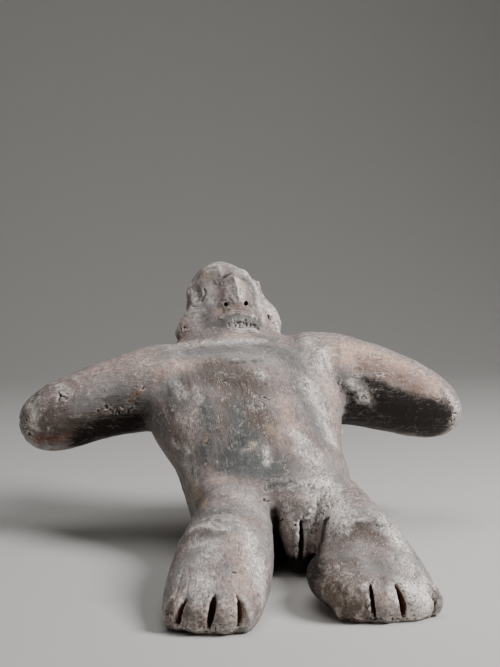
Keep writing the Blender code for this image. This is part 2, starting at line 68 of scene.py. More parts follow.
# Direction of the strokes on each part of the body, as the tool went over the leather-hard clay.
TRUNK_RISE = math.radians(41.0)
TRUNK_SEAT = np.array((0.0016, 0.0155, 0.046))
TRUNK_LENGTH = 0.172
ACROSS = np.array((1.0, 0.0, 0.0))
UP_THE_TRUNK = np.array((-0.08, math.cos(TRUNK_RISE), math.sin(TRUNK_RISE)))
ALONG_THE_LEGS = np.array((-0.1, -1.0, 0.0))
DIRECTIONS = (ACROSS, UP_THE_TRUNK, ALONG_THE_LEGS)

# Where the strokes change direction, as shares of the trunk's length above the seat. Out along the arms they
# change with the distance from the middle, in metres.
HIPS = (-0.1, 0.15)
SHOULDERS = (0.62, 0.8)
NECK = (1.08, 1.2)
ARMS = (0.07, 0.095)
ARMS_LOWEST = (0.2, 0.4)

# Corners sharper than this stay sharp, points nearer than this are one, and rounds of smoothing.
SHARP_RIM = math.radians(50)
SAME_POINT = 0.01 * MM
SKIN_SOFTENING = 2
BRIDGE_SOFTENING = 4

# Distances from the camera, in metres, at which clay is looked for when a pixel misses it, and the pixels
# between the points of a mark.
CLAY_NEAREST = 0.7
CLAY_FARTHEST = 1.5
CLAY_STEP = 0.004
PIXEL_STEP = 3

# Heights over the floor where the relief fades in, depths where the rim of a cut starts and ends, the depth
# that shows the core colour, which is partly painted shade, in full, and rounds of smoothing that tell crests
# from dips.
OFF_THE_FLOOR = (0.3 * MM, 1.5 * MM)
RIM_STARTS = (0.8 * MM, 1.8 * MM)
RIM_ENDS = (5 * MM, 8 * MM)
FULL_HOLLOW = 4.4 * MM
PROUD_ROUNDS = 4

# Where a mark starts to fade, where it ends and how far its edge wavers, in half widths or radii.
MARK_FADE = (0.3, 1.4)
MARK_WAVER = 0.35
ROUGH_FADE = (0.3, 1.5)
TINT_FADE = (0.0, 1.9)
HIDDEN_FADE = (0.0, 1.7)

# Widths of the noises that roughen marks: waver of their edges, coarse and fine pits, crumbs of the rims.
WAVER_WIDTH = 2.5 * MM
COARSE_PITS = 3.4 * MM
FINE_PITS = 1.7 * MM
CRUMBS = 2.8 * MM

# Noises that shift the outlines of marks: width, size of the shift, and a seed for each axis.
WANDERS = (
    (9 * MM, 3.0 * MM, (2.1, 14.1, 27.1)),
    (3 * MM, 1.2 * MM, (33.1, 47.1, 58.1)),
)

# The stage's pale paper: width of its tooth, how dark its darkest spots are and how dull it is.
PAPER_TOOTH = 40 * MM
PAPER_DARKEST = 0.96
PAPER_ROUGHNESS = 0.85

# Relief marks: pixels that the mark runs through, half width in mm and depth in mm. A raised mark has a depth
# below 0.
HEAD_RELIEF = (
    (((224.5, 277), (228, 274.8), (232, 273.8), (237, 274.6), (241, 277)), 2.0, 0.3),  # forehead line
    (((268.3, 315.5), (270.8, 319.5)), 1.1, 2.4),  # hole in the left ear lobe
    (((222, 275), (230, 272), (238, 272), (245, 275)), 2.4, -0.6),  # brow
    (((234.5, 278), (236.5, 282), (238, 290), (239.5, 299)), 1.4, -0.9),  # ridge of the nose
    (((242, 278), (247, 284), (251, 294), (254, 304)), 2.4, 0.4),  # hollow beside the nose
    (((222, 317), (229, 314), (236, 312.5), (248, 314), (257, 318)), 2.4, -0.6),  # upper lip
    (((204, 289), (205, 292), (204, 296), (201.5, 300.5)), 1.3, 1.0),  # line in front of the ear
    (((194, 291.5), (198, 291)), 1.2, 0.35),  # nick at the top of the ear
    (((190, 288), (188, 298), (191, 306), (196, 309), (201, 304)), 1.8, 0.25),  # bowl of the ear
    (((193, 306), (196, 307)), 0.9, 0.7),  # nick under the ear
    (((181, 329), (187, 328)), 0.8, 0.8),  # nick in the right ear lobe
    (((228.5, 323), (229.5, 326)), 0.8, 0.9),  # nicks of the mouth
    (((234.5, 320.5), (235.5, 326)), 0.7, 1.2),
    (((240, 321.5), (239.5, 327.5)), 0.8, 1.1),
    (((245.5, 320), (246.5, 325.5)), 1.1, 1.4),
    (((250, 322.5), (251, 327.5)), 0.8, 1.0),
    (((254.5, 323), (255.5, 327)), 0.7, 1.0),
    (((231, 329), (241, 329.5), (250, 329), (256, 329.5)), 1.2, -0.5),  # lower lip
    (((224, 308), (229, 308)), 0.8, -0.5),  # wing of the nose
    (((258, 282), (259, 285)), 1.6, -1.2),  # bumps of the temple
    (((262, 292), (263, 296)), 1.6, -1.2),
)
ARM_RELIEF = (
    (((25.5, 419), (26.5, 421)), 1.0, 1.6),  # cuts in the right arm's end
    (((25, 431), (25.5, 432)), 0.7, 1.0),
    (((341, 431), (342, 433)), 1.6, -1.3),  # fold of the left armpit
    (((449, 397), (452, 396)), 0.8, 0.9),  # cuts in the left arm's end
    (((455, 404), (459, 404)), 0.8, 0.9),
    (((454, 414), (458, 413)), 0.8, 1.0),
    (((450, 426), (454, 425)), 0.8, 0.8),
)
TRUNK_RELIEF = (
    (((263, 397), (267, 398)), 0.8, 1.2),  # pits of the belly
    (((267, 480), (269, 480)), 0.8, 0.9),
    (((264, 500), (268, 501)), 1.0, 1.4),
    (((230, 361), (245, 360), (262, 361)), 1.2, 0.5),  # crease below the neck
    (((255, 496), (285, 494), (318, 494), (345, 492)), 2.2, 0.3),  # line over the groin
    (((321, 488), (322, 498), (321, 509), (318, 519)), 9.0, -2.6),  # clay in the left groin
)
MOUND_RELIEF = (
    (((303, 516.5), (303.5, 518)), 0.7, 1.0),  # pit over the mound's cut
    (((298.5, 525), (298.5, 530)), 1.2, -0.8),  # lip of the mound's cut
    (((297.5, 536), (297, 542)), 1.4, -0.9),
    (((296.5, 549), (296, 557)), 1.5, -0.9),
)
LEG_RELIEF = (
    (((188, 532), (198, 527), (210, 525), (222, 527), (230, 531)), 4.0, -0.25),  # top of the right kneecap
    (((200, 536), (212, 533), (224, 536)), 4.0, 0.12),  # hollow of the right kneecap
    (((232.5, 571.5), (235, 572.5)), 1.0, 1.6),  # pit of the right shin
    (((183, 570), (179, 585), (175, 600)), 0.7, 0.4),  # lines towards the right toes
    (((190, 575), (188, 588), (186, 600)), 0.7, 0.4),
    (((380, 522), (390, 524), (397, 531)), 4.0, -1.1),  # corner of the left kneecap
    (((346, 525), (354, 521), (368, 519), (382, 520)), 2.2, -0.8),  # top of the left kneecap
    (((348, 531), (358, 527), (372, 527), (384, 529)), 2.6, 0.5),  # groove under it
    (((345, 536), (358, 533), (372, 536)), 6.0, 0.5),  # hollow of the left kneecap
    (((345, 601), (347, 614)), 0.8, 0.6),  # crack of the left big toe
    (((373, 580), (371, 588), (370, 596)), 0.6, 0.9),  # crack over the second cut
    (((397, 582), (402, 583), (405, 592)), 1.3, -0.9),  # lip of the third cut
    (((428, 583), (431, 587), (434, 591)), 0.6, 0.9),  # nick of the left little toe
    (((208, 600), (212, 595), (216, 600)), 1.4, -0.5),  # knuckles of the right toes
    (((235, 601), (239, 597), (242, 602)), 1.4, -0.5),
)

# Rough marks, where the clay is pitted and crumbled: pixels, radius in mm, depth in mm.
ROUGH = (
    (((230, 325), (243, 323), (256, 324.5)), 3.0, 1.1),  # mouth
    (((61, 391), (62, 399)), 2.6, 1.8),  # chips of the right arm
    (((66, 393), (67, 397)), 2.0, 1.4),
    (((26, 414), (25, 434)), 4.5, 1.0),  # the right arm's end
    (((102, 412), (113, 410)), 3.4, 1.3),  # crust along the right arm
    (((118, 412), (133, 407)), 3.8, 1.3),
    (((128, 399), (135, 394), (142, 388)), 2.0, 0.9),
    (((137, 421), (141, 427), (148, 433)), 3.5, 1.3),  # right armpit
    (((343, 388), (352, 398), (364, 402)), 6.0, 1.0),  # left armpit
    (((372, 388), (384, 398)), 5.0, 0.6),  # under the left arm
    (((447, 397), (457, 408), (452, 428)), 5.0, 1.5),  # the left arm's end
    (((262, 396), (269, 399)), 2.4, 1.3),  # pits of the belly
    (((254, 372), (262, 376)), 3.0, 0.7),
    (((266, 479), (276, 480), (286, 477)), 2.2, 1.1),  # line over the groin
    (((263, 499), (269, 502)), 2.6, 1.6),
    (((294, 434), (304, 440), (300, 448)), 7.0, 0.5),  # worn belly
    (((262, 450), (268, 458)), 3.0, 0.6),
    (((173, 445), (188, 451)), 4.0, 0.5),
    (((205, 436), (206, 442)), 2.0, 0.6),
    (((297.5, 524), (297, 540), (296, 558)), 2.0, 1.2),  # rim of the mound's cut
    (((276, 516), (282, 520)), 2.2, 0.8),  # folds beside the mound
    (((330, 506), (322, 514)), 2.2, 0.8),
    (((171, 628), (200, 629), (241, 626)), 3.0, 1.4),  # lower edges of the feet
    (((336, 619), (372, 621), (436, 616)), 2.4, 1.4),
    (((369, 592), (369.5, 620)), 2.4, 1.4),  # left toe cuts
    (((399, 583), (405, 592)), 2.4, 0.9),
    (((430, 584), (434, 600)), 2.2, 0.8),
    (((379, 523), (390, 526), (398, 532)), 5.0, 0.7),  # left kneecap
    (((180, 600), (177, 622)), 2.4, 0.9),  # right toe cuts
    (((208, 600), (202, 624)), 2.6, 0.7),
)

# Tint marks: finish, pixels that the patch runs through, radius in mm and strength. Some are painted shade or
# painted light, as noted.
HEAD_TINTS = (
    ("pale", ((208, 266), (222, 261), (240, 266)), 6, 0.5),
    ("brown", ((206, 270), (214, 272), (226, 272)), 6, 0.6),
    ("soot_and_shade", ((214, 267), (216, 270)), 2.5, 0.6),
    ("ochre", ((203, 272), (206, 278)), 4, 0.5),
    ("pale", ((218, 268), (222, 270)), 3, 0.7),
    # Painted shadow under the ledge of the brow, on both sides of the nose.
    ("soot_and_shade", ((224.5, 277), (229, 274.5), (234, 274), (241, 277)), 2.0, 1.0),
    ("cool", ((241, 277), (247, 281), (254, 289)), 2.6, 1.1),
    ("cool", ((211, 282), (219, 284), (224, 286)), 4, 0.5),
    # Painted shade on the nose's left side, which faces away from the light.
    ("brown", ((229, 282), (233, 290), (234, 298)), 3.5, 0.45),
    ("pale", ((226, 284), (229, 292)), 3, 0.5),
    # Painted light that lifts the shade under the nose.
    ("pale", ((228, 300.5), (240, 301.5)), 2.5, 0.7),
    ("pale", ((208, 292), (214, 302)), 5, 0.45),
    # Painted highlight on the nose's right side, which faces the light.
    ("pale", ((238, 281), (241, 290), (243, 300)), 3, 0.8),
    ("warm", ((244, 284), (248, 296)), 3, 0.7),
    ("pale", ((243, 268), (252, 278), (258, 292)), 5, 0.7),
    ("cool", ((248, 282), (254, 294), (256, 306)), 3, 0.7),
    ("pale", ((258, 300), (262, 312), (264, 322)), 4, 0.6),
    ("warm", ((216, 310), (228, 308), (238, 309)), 4, 0.7),
    ("warm", ((222, 317), (236, 313), (255, 316)), 2.6, 1.0),
    ("pale", ((228, 307), (232, 309)), 2, 0.9),
    ("cool", ((208, 312), (211, 322), (216, 330)), 5, 0.6),
    # Painted shadow under the upper lip.
    ("cool", ((218, 324), (225, 319), (234, 317), (245, 316), (256, 318), (263, 323)), 4.5, 0.9),
    ("pale", ((231, 329.5), (256, 329.5)), 1.8, 1.1),
    # Painted shade in the mouth's nicks, the hole of the left ear lobe and the left nostril.
    ("soot_and_shade", ((228, 325), (238, 323.5), (248, 323.5), (257, 325.5)), 2.2, 1.2),
    ("soot_and_shade", ((268.3, 315.8), (270.8, 320)), 1.3, 3.0),
    ("soot_and_shade", ((226.3, 304.6), (226.6, 305)), 1.6, 3.0),
    ("warm", ((181, 318), (179, 334)), 8, 0.8),
    ("cool", ((174, 326), (176, 334)), 3, 0.8),
    ("brown", ((180, 330), (188, 326)), 3, 0.5),
    ("pale", ((176, 322), (184, 316)), 5, 0.5),
    ("brown", ((193, 290), (197, 302)), 5, 0.25),
    ("pale", ((190, 291), (196, 300)), 4, 0.4),
    # Painted shade in the line in front of the ear.
    ("brown", ((204, 290), (204, 296), (201, 301)), 1.2, 0.9),
    ("cool", ((190, 300), (193, 306)), 3.5, 0.3),
    ("pale", ((200, 302), (203, 308)), 3, 0.6),
    ("pale", ((268, 306), (277, 316), (279, 328)), 6, 0.9),
    ("warm", ((270, 310), (276, 325)), 6, 0.7),
    ("cool", ((190, 338), (215, 336)), 5, 0.6),
    ("pale", ((180, 344), (220, 342), (262, 341)), 4, 0.6),
    ("warm", ((226, 335), (250, 334)), 5, 0.7),
    ("cool", ((258, 336), (276, 340)), 6, 0.6),
)
ARM_TINTS = (
    ("warm", ((90, 372), (120, 362), (150, 356)), 12, 0.6),
    ("cool", ((160, 352), (185, 352)), 9, 0.5),
    ("cool", ((112, 398), (128, 392), (150, 392)), 9, 0.4),
    ("soot_and_shade", ((112, 402), (134, 396), (146, 402)), 6, 0.5),
    ("cool", ((72, 404), (92, 402)), 8, 0.35),
    ("pale", ((60, 386), (68, 392)), 4, 0.7),
    ("pale", ((29, 406), (34, 414), (32, 426)), 5, 1.2),
    ("ochre", ((128, 399), (135, 394), (142, 388)), 2.2, 1.0),
    ("ochre", ((103, 413), (112, 412)), 2.2, 0.8),
    ("ochre", ((118, 412), (132, 411)), 2.2, 0.8),
    # Painted shade under the right arm, out to its end.
    ("brown", ((52, 432), (75, 426), (100, 421), (132, 420)), 11, 1.3),
    ("soot_and_shade", ((84, 438), (102, 430), (134, 424)), 12, 1.9),
    ("soot_and_shade", ((40, 440), (70, 430)), 5, 0.5),
    ("brown", ((34, 428), (44, 416), (58, 412)), 8, 0.9),
    ("scorch", ((36, 440), (60, 438), (78, 434)), 4.5, 0.9),
    ("ochre", ((138, 426), (144, 422)), 3, 0.8),
    ("cool", ((140, 405), (150, 415), (158, 428)), 8, 0.9),
    # Painted shade in the right armpit.
    ("soot_and_shade", ((138, 412), (148, 424)), 5, 0.6),
    ("warm", ((340, 350), (370, 358), (400, 370), (430, 386)), 12, 1.7),
    ("scorch", ((366, 364), (390, 372), (416, 384)), 9, 0.15),
    ("brown", ((366, 366), (390, 374), (418, 386)), 10, 0.8),
    ("ochre", ((362, 348), (374, 351)), 1.6, 0.7),
    ("cool", ((342, 378), (352, 386), (362, 388)), 7, 0.8),
    # Painted shade in the left armpit.
    ("soot_and_shade", ((344, 388), (350, 396), (354, 402)), 3.5, 1.1),
    ("cool", ((360, 384), (372, 396), (376, 404)), 6, 0.7),
    ("pale", ((350, 382), (360, 393), (370, 400)), 3.5, 0.9),
    # Painted shade under the left arm, dark from the line where its light turns to shade.
    ("soot_and_shade", ((366, 380), (378, 385), (392, 391), (408, 399), (438, 407)), 3.5, 1.5),
    ("brown", ((378, 392), (400, 401), (440, 409)), 10, 1.8),
    ("soot_and_shade", ((350, 406), (360, 411), (374, 415)), 5, 2.0),
    ("soot_and_shade", ((384, 404), (404, 410), (426, 415), (441, 418)), 10, 2.4),
    ("soot_and_shade", ((352, 422), (380, 424), (405, 424), (432, 427)), 14, 2.4),
    ("pale", ((449, 394), (458, 408), (454, 426)), 4, 0.9),
    ("soot_and_shade", ((441, 404), (447, 416)), 3, 0.8),
)
TRUNK_TINTS = (
    ("cool", ((200, 350), (225, 348), (255, 350)), 6, 0.6),
    ("cool", ((262, 346), (284, 352), (296, 366)), 10, 0.9),
    ("cool", ((294, 376), (308, 404), (324, 442)), 6, 0.7),
    ("cool", ((172, 392), (178, 408)), 8, 0.8),
    ("cool", ((204, 400), (209, 425), (206, 458)), 7, 0.95),
    ("cool", ((242, 410), (247, 430), (242, 448)), 12, 1.9),
    ("cool", ((232, 458), (252, 464), (274, 468)), 14, 1.5),
    ("cool", ((270, 484), (306, 485)), 6, 0.95),
    ("cool", ((330, 470), (340, 490)), 6, 0.5),
    ("brown", ((214, 372), (232, 376), (250, 386)), 16, 1.5),
    ("brown", ((236, 390), (252, 404), (260, 420)), 12, 1.1),
    ("brown", ((186, 378), (192, 392)), 8, 0.7),
    ("brown", ((222, 400), (224, 440)), 7, 0.6),
    ("brown", ((262, 404), (268, 430), (274, 452)), 8, 0.7),
    ("brown", ((192, 485), (204, 512)), 6, 0.4),
    ("pale", ((186, 462), (197, 484)), 6, 0.5),
    ("pale", ((312, 500), (335, 504)), 7, 0.6),
    ("brown", ((276, 502), (298, 504)), 7, 0.7),
    ("brown", ((286, 440), (290, 462)), 7, 0.5),
    ("pale", ((322, 350), (325, 366)), 5, 1.0),
    ("pale", ((308, 344), (326, 382)), 10, 0.35),
    ("pale", ((258, 370), (264, 376)), 4, 0.5),
    ("pale", ((308, 384), (322, 410), (332, 440)), 7, 0.75),
    ("pale", ((294, 432), (304, 440), (300, 450)), 5, 0.7),
    ("pale", ((312, 456), (322, 478), (316, 496)), 9, 0.65),
    ("pale", ((266, 448), (268, 462)), 2.8, 1.0),
    ("pale", ((226, 490), (242, 496), (258, 508)), 8, 0.3),
    ("pale", ((174, 444), (190, 450)), 4, 0.7),
    ("pale", ((176, 384), (184, 396)), 4, 0.6),
    ("pale", ((196, 388), (200, 402)), 3, 0.6),
    ("pale", ((244, 450), (252, 444)), 3, 0.7),
    ("warm", ((326, 376), (332, 400), (334, 424)), 8, 0.8),
    ("warm", ((280, 400), (288, 420), (284, 440)), 8, 0.7),
    ("warm", ((180, 420), (192, 440)), 8, 0.35),
    ("pale", ((184, 416), (192, 430)), 8, 0.35),
    ("warm", ((214, 470), (224, 480)), 8, 0.6),
    ("warm", ((160, 368), (200, 364)), 9, 0.6),
    ("ochre", ((206, 434), (206, 440)), 2.2, 0.9),
    ("ochre", ((252, 443), (253, 446)), 2.2, 0.9),
    ("ochre", ((270, 424), (272, 434)), 2.2, 0.7),
    ("ochre", ((196, 486), (203, 504)), 3.5, 0.6),
    ("ochre", ((304, 503), (322, 506)), 3, 0.4),
    # Painted shade in the crease below the neck.
    ("soot_and_shade", ((232, 362), (256, 361)), 2.4, 0.8),
    ("soot_and_shade", ((226, 380), (240, 384)), 5, 0.4),
    ("soot_and_shade", ((270, 486), (290, 482)), 2.6, 0.6),
    ("soot_and_shade", ((241, 436), (244, 446)), 4, 0.4),
)
LEG_TINTS = (
    ("cool", ((202, 514), (226, 512)), 8, 0.7),
    ("pale", ((190, 529), (214, 526), (228, 529)), 2.6, 1.0),
    # Painted shadow under the top of the right kneecap.
    ("soot_and_shade", ((204, 535), (224, 536)), 4, 0.35),
    ("cool", ((188, 556), (206, 550), (222, 558)), 8, 0.35),
    ("pale", ((196, 541), (212, 542), (208, 560)), 7, 0.5),
    ("warm", ((236, 545), (248, 565), (242, 590)), 10, 0.8),
    ("pale", ((250, 540), (258, 560), (262, 590)), 9, 0.9),
    ("pale", ((203, 576), (206, 592)), 7, 0.6),
    ("brown", ((168, 600), (172, 616)), 4, 0.7),
    ("cool", ((196, 598), (216, 600)), 6, 0.5),
    ("brown", ((186, 612), (198, 614)), 5, 0.7),
    ("soot_and_shade", ((196, 618), (222, 618)), 4, 0.2),
    ("warm", ((172, 608), (200, 617), (236, 611)), 8, 0.6),
    ("pale", ((171, 628), (200, 630), (241, 627)), 2.2, 0.9),
    ("cool", ((288, 516), (296, 512), (314, 514)), 7, 0.4),
    ("pale", ((298.5, 524), (298, 540), (296.5, 558)), 2.2, 1.9),
    ("pale", ((312, 536), (316, 548)), 4, 0.5),
    ("brown", ((350, 534), (364, 529), (380, 538)), 10, 1.2),
    ("brown", ((340, 520), (352, 524)), 7, 0.5),
    ("brown", ((198, 524), (210, 526), (220, 530)), 5, 0.4),
    ("pale", ((386, 524), (396, 534), (402, 546)), 7, 0.95),
    ("pale", ((350, 521), (366, 518), (380, 519)), 2, 0.8),
    ("cool", ((336, 552), (346, 562)), 7, 0.7),
    ("brown", ((346, 560), (362, 576)), 9, 0.75),
    ("brown", ((320, 588), (334, 602), (358, 612)), 12, 1.0),
    ("brown", ((336, 574), (346, 590), (356, 604)), 12, 0.6),
    # Painted shade on the inner side of the left foot, which faces away from the light.
    ("soot_and_shade", ((309, 572), (311, 592), (318, 608)), 11, 2.4),
    ("ochre", ((330, 588), (340, 600), (352, 612)), 10, 0.3),
    ("brown", ((322, 566), (328, 588), (340, 608)), 12, 1.2),
    ("scorch", ((334, 620), (350, 623), (366, 623)), 2, 1.2),
    ("pale", ((404, 560), (424, 584)), 8, 0.6),
    # Painted highlight on the outer toes of the left foot, which face the light.
    ("pale", ((410, 592), (424, 602), (420, 614)), 10, 2.2),
    ("pale", ((378, 598), (384, 606), (386, 616)), 5, 0.25),
    ("warm", ((376, 600), (390, 600)), 7, 0.7),
    ("brown", ((376, 556), (388, 584)), 8, 0.6),
    # Painted shade in a cut between the left toes.
    ("soot_and_shade", ((366, 606), (369, 619)), 2.0, 0.6),
    # Painted shade in the gap between the mound and the right thigh.
    ("brown", ((277, 526), (281, 545), (287, 560)), 6, 1.4),
    ("soot_and_shade", ((274, 512), (276, 528), (279, 542)), 4, 1.6),
    ("soot_and_shade", ((282, 552), (287, 564)), 5, 1.2),
    # Painted shade where the left thigh's inner side turns away beside the mound.
    ("soot_and_shade", ((325.5, 521), (322, 540), (317, 556), (311, 568)), 4, 1.5),
    ("brown", ((326, 518), (323, 540), (318, 556)), 7, 0.9),
    # Painted light that lifts the shade of the crease between the mound and the left thigh.
    ("pale", ((313, 512), (314, 528), (312, 540)), 3.5, 1.0),
    # Painted shade under the tip of the mound.
    ("soot_and_shade", ((291, 562), (302, 568), (311, 562)), 6, 2.2),
    # Painted shade in the mound's cut.
    ("soot_and_shade", ((302.5, 522), (302, 540), (302, 558)), 1.6, 1.6),
    # Painted light on the side of the mound towards the right thigh, which faces away from the light.
    ("pale", ((282, 508), (288, 524), (292, 534)), 6, 0.5),
    # Painted light that lifts the shade of the crease between the belly and the left thigh.
    ("pale", ((320, 486), (326, 498), (332, 512), (336, 522)), 10, 1.8),
)

# Tint of the sides that the picture doesn't show: how many patches of each finish and their usual radius.
HIDDEN_PATCHES = {
    "warm": (16, 16 * MM),
    "cool": (18, 15 * MM),
    "pale": (24, 9 * MM),
    "brown": (14, 14 * MM),
    "soot_and_shade": (8, 9 * MM),
    "scorch": (4, 7 * MM),
    "ochre": (14, 3 * MM),
}
TINTS = tuple(HIDDEN_PATCHES)

# How the patches vary in size, width along each axis and strength, and how squarely a point has to face away
# from the camera to count as hidden.
PATCH_SIZES = (0.5, 1.5)
PATCH_WIDTHS = (0.6, 1.5)
PATCH_STRENGTHS = (0.4, 0.9)
HIDDEN_SEED = 11
FACING_AWAY = -0.15


def tone(red, green, blue):
    """Colour from the values that a screen shows, 0 to 255 each."""
    shown = (red / 255, green / 255, blue / 255)
    return tuple(v / 12.92 if v <= 0.04045 else ((v + 0.055) / 1.055) ** 2.4 for v in shown)


def number(name, description, default, **settings):
    return FloatProperty(name=name, description=description, default=default, **settings)


def length(name, description, metres):
    return number(name, description, metres, min=0.0, precision=5, unit="LENGTH")


def angle(name, description, degrees):
    return number(name, description, math.radians(degrees), unit="ROTATION")


def power(name, description, watts):
    return number(name, description, watts, min=0.0, unit="POWER")


def position(name, description, default):
    return FloatVectorProperty(name=name, description=description, default=default, unit="LENGTH")


def colour(name, description, shown):
    return FloatVectorProperty(
        name=name, description=description, default=tone(*shown), min=0.0, max=1.0, size=3, subtype="COLOR"
    )


class SkinSizes(bpy.types.PropertyGroup):
    """Sizes of the worked clay skin."""

    sampling: length("Sampling", "Distance between points of the skin while it is worked", 1.0 * MM)
    triangles: IntProperty(
        name="Triangles", description="Triangles of the finished skin", default=194000, min=20000, max=199000
    )
    bridge: length("Bridged gap", "Widest cut that counts as a hollow in the skin", 4.5 * MM)
    sway: length("Sway", "Height of the broad unevenness of hand building", 0.7 * MM)
    sway_width: length("Sway width", "Width of one broad swelling", 24 * MM)
    dents: length("Dents", "Height of the small dents of fingers and tools", 0.32 * MM)
    dent_width: length("Dent width", "Width of one dent", 7 * MM)
    strokes: length("Strokes", "Depth of the burnishing strokes", 0.14 * MM)
    stroke_width: length("Stroke width", "Width of one stroke", 3.2 * MM)
    stroke_length: length("Stroke length", "Length of one stroke", 28 * MM)
    grain: length("Grain", "Height of the coarse clay grain", 0.1 * MM)
    grain_width: length("Grain width", "Width of one grain", 2.2 * MM)
    ragged: length("Ragged rims", "How far the rims of cuts wander", 0.5 * MM)


class ClayFinish(bpy.types.PropertyGroup):
    """Colours of the fired clay, of what fire and burial left on it and of painted shade and light, and the
    widths of its patches.
    """

    grey: colour("Grey", "Main colour of the fired clay", (158, 152, 150))
    mauve: colour("Mauve", "Reddish grey, mottled into the main colour", (146, 128, 124))
    warm: colour("Pink buff", "Well fired, pinkish areas", (200, 166, 150))
    # Blue grey is also painted shadow under the brow and under the upper lip.
    cool: colour("Blue grey", "Fire clouds", (90, 92, 91))
    # Brown is also painted shade under the arms, on the nose's left side, in a line by the ear and beside the
    # mound.
    brown: colour("Brown", "Stained areas", (93, 79, 71))
    # The bloom colour is also painted light: highlights on faces that turn to the light, and lifts over shade
    # in creases and under the nose.
    pale: colour("Bloom", "Whitish bloom and worn places", (240, 231, 223))
    # The soot colour also stands for painted shade: under the arms, in the armpits, cuts, creases and
    # nostril, under the brow and beside the mound.
    soot_and_shade: colour("Soot", "Blackened places", (28, 21, 17))
    scorch: colour("Scorch", "Orange fired patches", (150, 84, 58))
    ochre: colour("Ochre", "Yellowish crust", (186, 150, 112))
    # The core colour in the cuts and crevices is partly painted shade.
    inside: colour("Inside", "Red-brown core that shows in the cuts", (112, 72, 56))
    clouds: length("Clouds", "Width of the broad clouds", 34 * MM)
    mottle: length("Mottle", "Width of the mottled patches", 11 * MM)
    blotches: length("Blotches", "Width of the small blotches", 3.4 * MM)
    grit: length("Grit", "Width of the specks of grit", 1.1 * MM)
    streak_width: length("Streak width", "Width of the broad streaks", 3.2 * MM)
    streak_length: length("Streak length", "Length of the broad streaks", 45 * MM)
    stroke_width: length("Stroke width", "Width of the fine burnishing strokes", 0.8 * MM)
    stroke_length: length("Stroke length", "Length of the fine strokes", 16 * MM)
    cross_width: length("Cross width", "Width of the strokes that cross them", 0.7 * MM)
    cross_length: length("Cross length", "Length of the strokes that cross them", 10 * MM)
    bend_width: length("Bend width", "Width of the bends in the strokes", 14 * MM)
    bend: length("Bend", "How far the strokes bend aside", 9 * MM)
    bump: length("Bump", "Height of the finest relief, which is only shaded", 0.5 * MM)
    roughness: number("Roughness", "Roughness of the skin", 0.58, min=0.0, max=1.0, subtype="FACTOR")
    ior: number("IOR", "Refractive index, for the strength of the shine", 1.33, min=1.0)


class StageSizes(bpy.types.PropertyGroup):
    """Sizes of the stage, place of the camera and strength of the lamps."""

    sweep: length("Sweep", "Width of the pale floor sweep", 8.0)
    bend_start: length("Bend start", "How far behind the figure the sweep starts to rise", 1.2)
    bend_radius: length("Bend radius", "Radius of the bend in the sweep", 1.0)
    floor: colour("Floor", "Colour of the sweep", (196, 194, 190))
    camera_place: position("Camera place", "Where the camera stands", (-0.2044, -1.0645, 0.275))
    camera_turn: angle("Camera turn", "Turn of the view to the figure's right", -10)
    camera_pitch: angle("Camera pitch", "How far the camera looks down", 5)
    lens: number("Lens", "Focal length in millimetres", 75.0, min=1.0)
    aim: position("Aim", "Point that both lamps face", (0.0, 0.0, 0.1))
    key: power("Key", "Power of the soft lamp above on the right", 24.5)
    key_place: position("Key place", "Where that lamp hangs", (0.85, -0.4, 1.0))
    key_width: length("Key width", "Width of that lamp", 0.6)
    top: power("Top", "Power of the wide lamp overhead", 7.0)
    top_place: position("Top place", "Where the wide lamp hangs", (-0.1, 0.1, 1.3))
    top_width: length("Top width", "Width of the wide lamp", 1.2)
    room: number("Room", "Strength of the light from the room", 0.03, min=0.0)


def smooth_step(values, low, high):
    share = np.clip((values - low) / (high - low), 0.0, 1.0)
    return share * share * (3 - 2 * share)


def add_object(name, data):
    made = bpy.data.objects.new(name, data)
    bpy.context.scene.collection.objects.link(made)
    return made


def apply_modifiers(piece):
    """Bakes a piece's modifiers into its own mesh."""
    graph = bpy.context.evaluated_depsgraph_get()
    graph.update()
    mesh = bpy.data.meshes.new_from_object(piece.evaluated_get(graph))
    piece.modifiers.clear()
    old = piece.data
    piece.data = mesh
    bpy.data.meshes.remove(old)


class View:
    """The camera's stand, and the way from it through a pixel of the picture."""

    def __init__(self, stage):
        turn, pitch = stage.camera_turn, stage.camera_pitch
        back = Vector((math.sin(turn) * math.cos(pitch), -math.cos(turn) * math.cos(pitch), math.sin(pitch)))
        self.place = Vector(stage.camera_place)
        self.rotation = (-back).to_track_quat("-Z", "Y")
        self.reach = stage.lens / FILM * PICTURE_HEIGHT

    def through(self, pixel):
        across, down = pixel
        return self.rotation @ Vector((across - PICTURE_WIDTH / 2, PICTURE_HEIGHT / 2 - down, -self.reach))


class Solid:
    """The figure's own solid, to place marks on."""

    def __init__(self, view):
        bm = bmesh.new()
        bm.from_mesh(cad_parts[NODE].data)
        self.tree = BVHTree.FromBMesh(bm)
        bm.free()
        self.view = view

    def under(self, pixel):
        """Point on the clay under a pixel, or the nearest clay where the pixel just misses the outline."""
        way = self.view.through(pixel).normalized()
        hit = self.tree.ray_cast(self.view.place, way)[0]
        if hit is None:
            reaches = np.arange(CLAY_NEAREST, CLAY_FARTHEST, CLAY_STEP)
            passes = [self.tree.find_nearest(self.view.place + way * reach) for reach in reaches]
            hit = min(passes, key=lambda near: near[3])[0]
        return hit

    def run(self, pixels):
        """Points on the clay under a line through pixels, a few pixels apart."""
        points = []
        for start, end in zip(pixels, pixels[1:]):
            steps = max(1, round(math.dist(start, end) / PIXEL_STEP))
            for i in range(steps + 1):
                pixel = [a + (b - a) * i / steps for a, b in zip(start, end)]
                points.append(self.under(pixel))
        return np.array(points)


